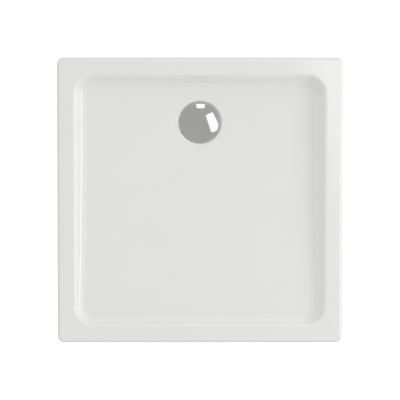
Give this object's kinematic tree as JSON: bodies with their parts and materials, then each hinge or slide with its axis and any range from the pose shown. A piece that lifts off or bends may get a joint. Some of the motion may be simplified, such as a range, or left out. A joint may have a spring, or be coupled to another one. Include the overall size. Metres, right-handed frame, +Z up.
{
  "type": "shower tray",
  "caption": "Square white acrylic shower tray with a round chrome waste cover near the back edge, on a steel frame with screw feet, with its trap and swivelling outlet.",
  "frame": {"origin": "on the floor under the middle of the tray", "axes": "+X to the right, +Y towards the side with the waste, +Z up"},
  "size_m": [0.8, 0.8, 0.17],
  "materials": {
    "white_acrylic": "polished sheet",
    "glass_fibre": "chopped strands in resin",
    "filled_resin": "trowelled filled resin",
    "chipboard": "raw chipboard",
    "galvanised_steel": "spangled zinc",
    "zinc_plate": "bright zinc plate",
    "yellow_zinc": "yellow zinc plate",
    "black_plastic": "moulded, fine grain",
    "black_rubber": "moulded rubber",
    "white_plastic": "moulded polypropylene",
    "grey_plastic": "moulded polypropylene",
    "stainless": "satin pressed sheet",
    "chrome": "polished chrome plate"
  },
  "bodies": {
    "tray": {"tray_shell": "white_acrylic", "fibreglass_backing": "glass_fibre", "resin_bed": "filled_resin", "base_board": "chipboard", "left_rail": "galvanised_steel", "right_rail": "galvanised_steel", "cross_rail": "galvanised_steel", "rail_end_caps": "black_plastic", "cross_cleats": "galvanised_steel", "cleat_bolts": "zinc_plate", "cleat_nuts": "zinc_plate", "rail_screws": "yellow_zinc", "foot_sockets": "black_plastic", "socket_screws": "yellow_zinc", "lock_nuts": "zinc_plate", "waste_flange": "stainless", "flange_screws": "stainless", "flange_gasket": "black_rubber", "body_gasket": "black_rubber", "trap_body": "white_plastic", "outlet_nut": "white_plastic", "cone_seal": "black_rubber"},
    "outlet": {"outlet_elbow": "white_plastic"},
    "insert": {"trap_insert": "grey_plastic", "insert_ring": "black_rubber"},
    "cover": {"waste_cover": "chrome", "cover_carrier": "white_plastic"},
    "foot_front_left": {"foot_pad_front_left": "black_plastic", "foot_sole_front_left": "black_rubber"},
    "stud_front_left": {"foot_stud_front_left": "zinc_plate"},
    "foot_front_right": {"foot_pad_front_right": "black_plastic", "foot_sole_front_right": "black_rubber"},
    "stud_front_right": {"foot_stud_front_right": "zinc_plate"},
    "foot_rear_left": {"foot_pad_rear_left": "black_plastic", "foot_sole_rear_left": "black_rubber"},
    "stud_rear_left": {"foot_stud_rear_left": "zinc_plate"},
    "foot_rear_right": {"foot_pad_rear_right": "black_plastic", "foot_sole_rear_right": "black_rubber"},
    "stud_rear_right": {"foot_stud_rear_right": "zinc_plate"},
    "foot_centre": {"foot_pad_centre": "black_plastic", "foot_sole_centre": "black_rubber"},
    "stud_centre": {"foot_stud_centre": "zinc_plate"}
  },
  "joints": [
    {"name": "outlet_swivel", "type": "hinge", "parent": "tray", "child": "outlet", "pos_m": [0.106, 0.22, 0.087], "axis": [1, 0, 0], "range_deg": [-180, 0]},
    {"name": "insert_lift", "type": "slide", "parent": "tray", "child": "insert", "axis": [0, 0, 1], "range_m": [0, 0.11]},
    {"name": "cover_lift", "type": "slide", "parent": "insert", "child": "cover", "axis": [0, 0, 1], "range_m": [0, 0.04]},
    {"name": "foot_lift_front_left", "type": "slide", "parent": "tray", "child": "foot_front_left", "axis": [0, 0, -1], "range_m": [-0.008, 0.03]},
    {"name": "stud_spin_front_left", "type": "hinge", "parent": "foot_front_left", "child": "stud_front_left", "pos_m": [-0.25, -0.255, 0.024], "axis": [0, 0, -1], "range_deg": [-1646, 6172]},
    {"name": "foot_lift_front_right", "type": "slide", "parent": "tray", "child": "foot_front_right", "axis": [0, 0, -1], "range_m": [-0.008, 0.03]},
    {"name": "stud_spin_front_right", "type": "hinge", "parent": "foot_front_right", "child": "stud_front_right", "pos_m": [0.25, -0.255, 0.024], "axis": [0, 0, -1], "range_deg": [-1646, 6172]},
    {"name": "foot_lift_rear_left", "type": "slide", "parent": "tray", "child": "foot_rear_left", "axis": [0, 0, -1], "range_m": [-0.008, 0.03]},
    {"name": "stud_spin_rear_left", "type": "hinge", "parent": "foot_rear_left", "child": "stud_rear_left", "pos_m": [-0.25, 0.255, 0.024], "axis": [0, 0, -1], "range_deg": [-1646, 6172]},
    {"name": "foot_lift_rear_right", "type": "slide", "parent": "tray", "child": "foot_rear_right", "axis": [0, 0, -1], "range_m": [-0.008, 0.03]},
    {"name": "stud_spin_rear_right", "type": "hinge", "parent": "foot_rear_right", "child": "stud_rear_right", "pos_m": [0.25, 0.255, 0.024], "axis": [0, 0, -1], "range_deg": [-1646, 6172]},
    {"name": "foot_lift_centre", "type": "slide", "parent": "tray", "child": "foot_centre", "axis": [0, 0, -1], "range_m": [-0.008, 0.03]},
    {"name": "stud_spin_centre", "type": "hinge", "parent": "foot_centre", "child": "stud_centre", "pos_m": [0, -0.02, 0.024], "axis": [0, 0, -1], "range_deg": [-1646, 6172]}
  ],
  "couplings": [
    {"joint": "stud_spin_front_left", "follows": "foot_lift_front_left", "rad_per_m": 3590.4},
    {"joint": "stud_spin_front_right", "follows": "foot_lift_front_right", "rad_per_m": 3590.4},
    {"joint": "stud_spin_rear_left", "follows": "foot_lift_rear_left", "rad_per_m": 3590.4},
    {"joint": "stud_spin_rear_right", "follows": "foot_lift_rear_right", "rad_per_m": 3590.4},
    {"joint": "stud_spin_centre", "follows": "foot_lift_centre", "rad_per_m": 3590.4}
  ]
}
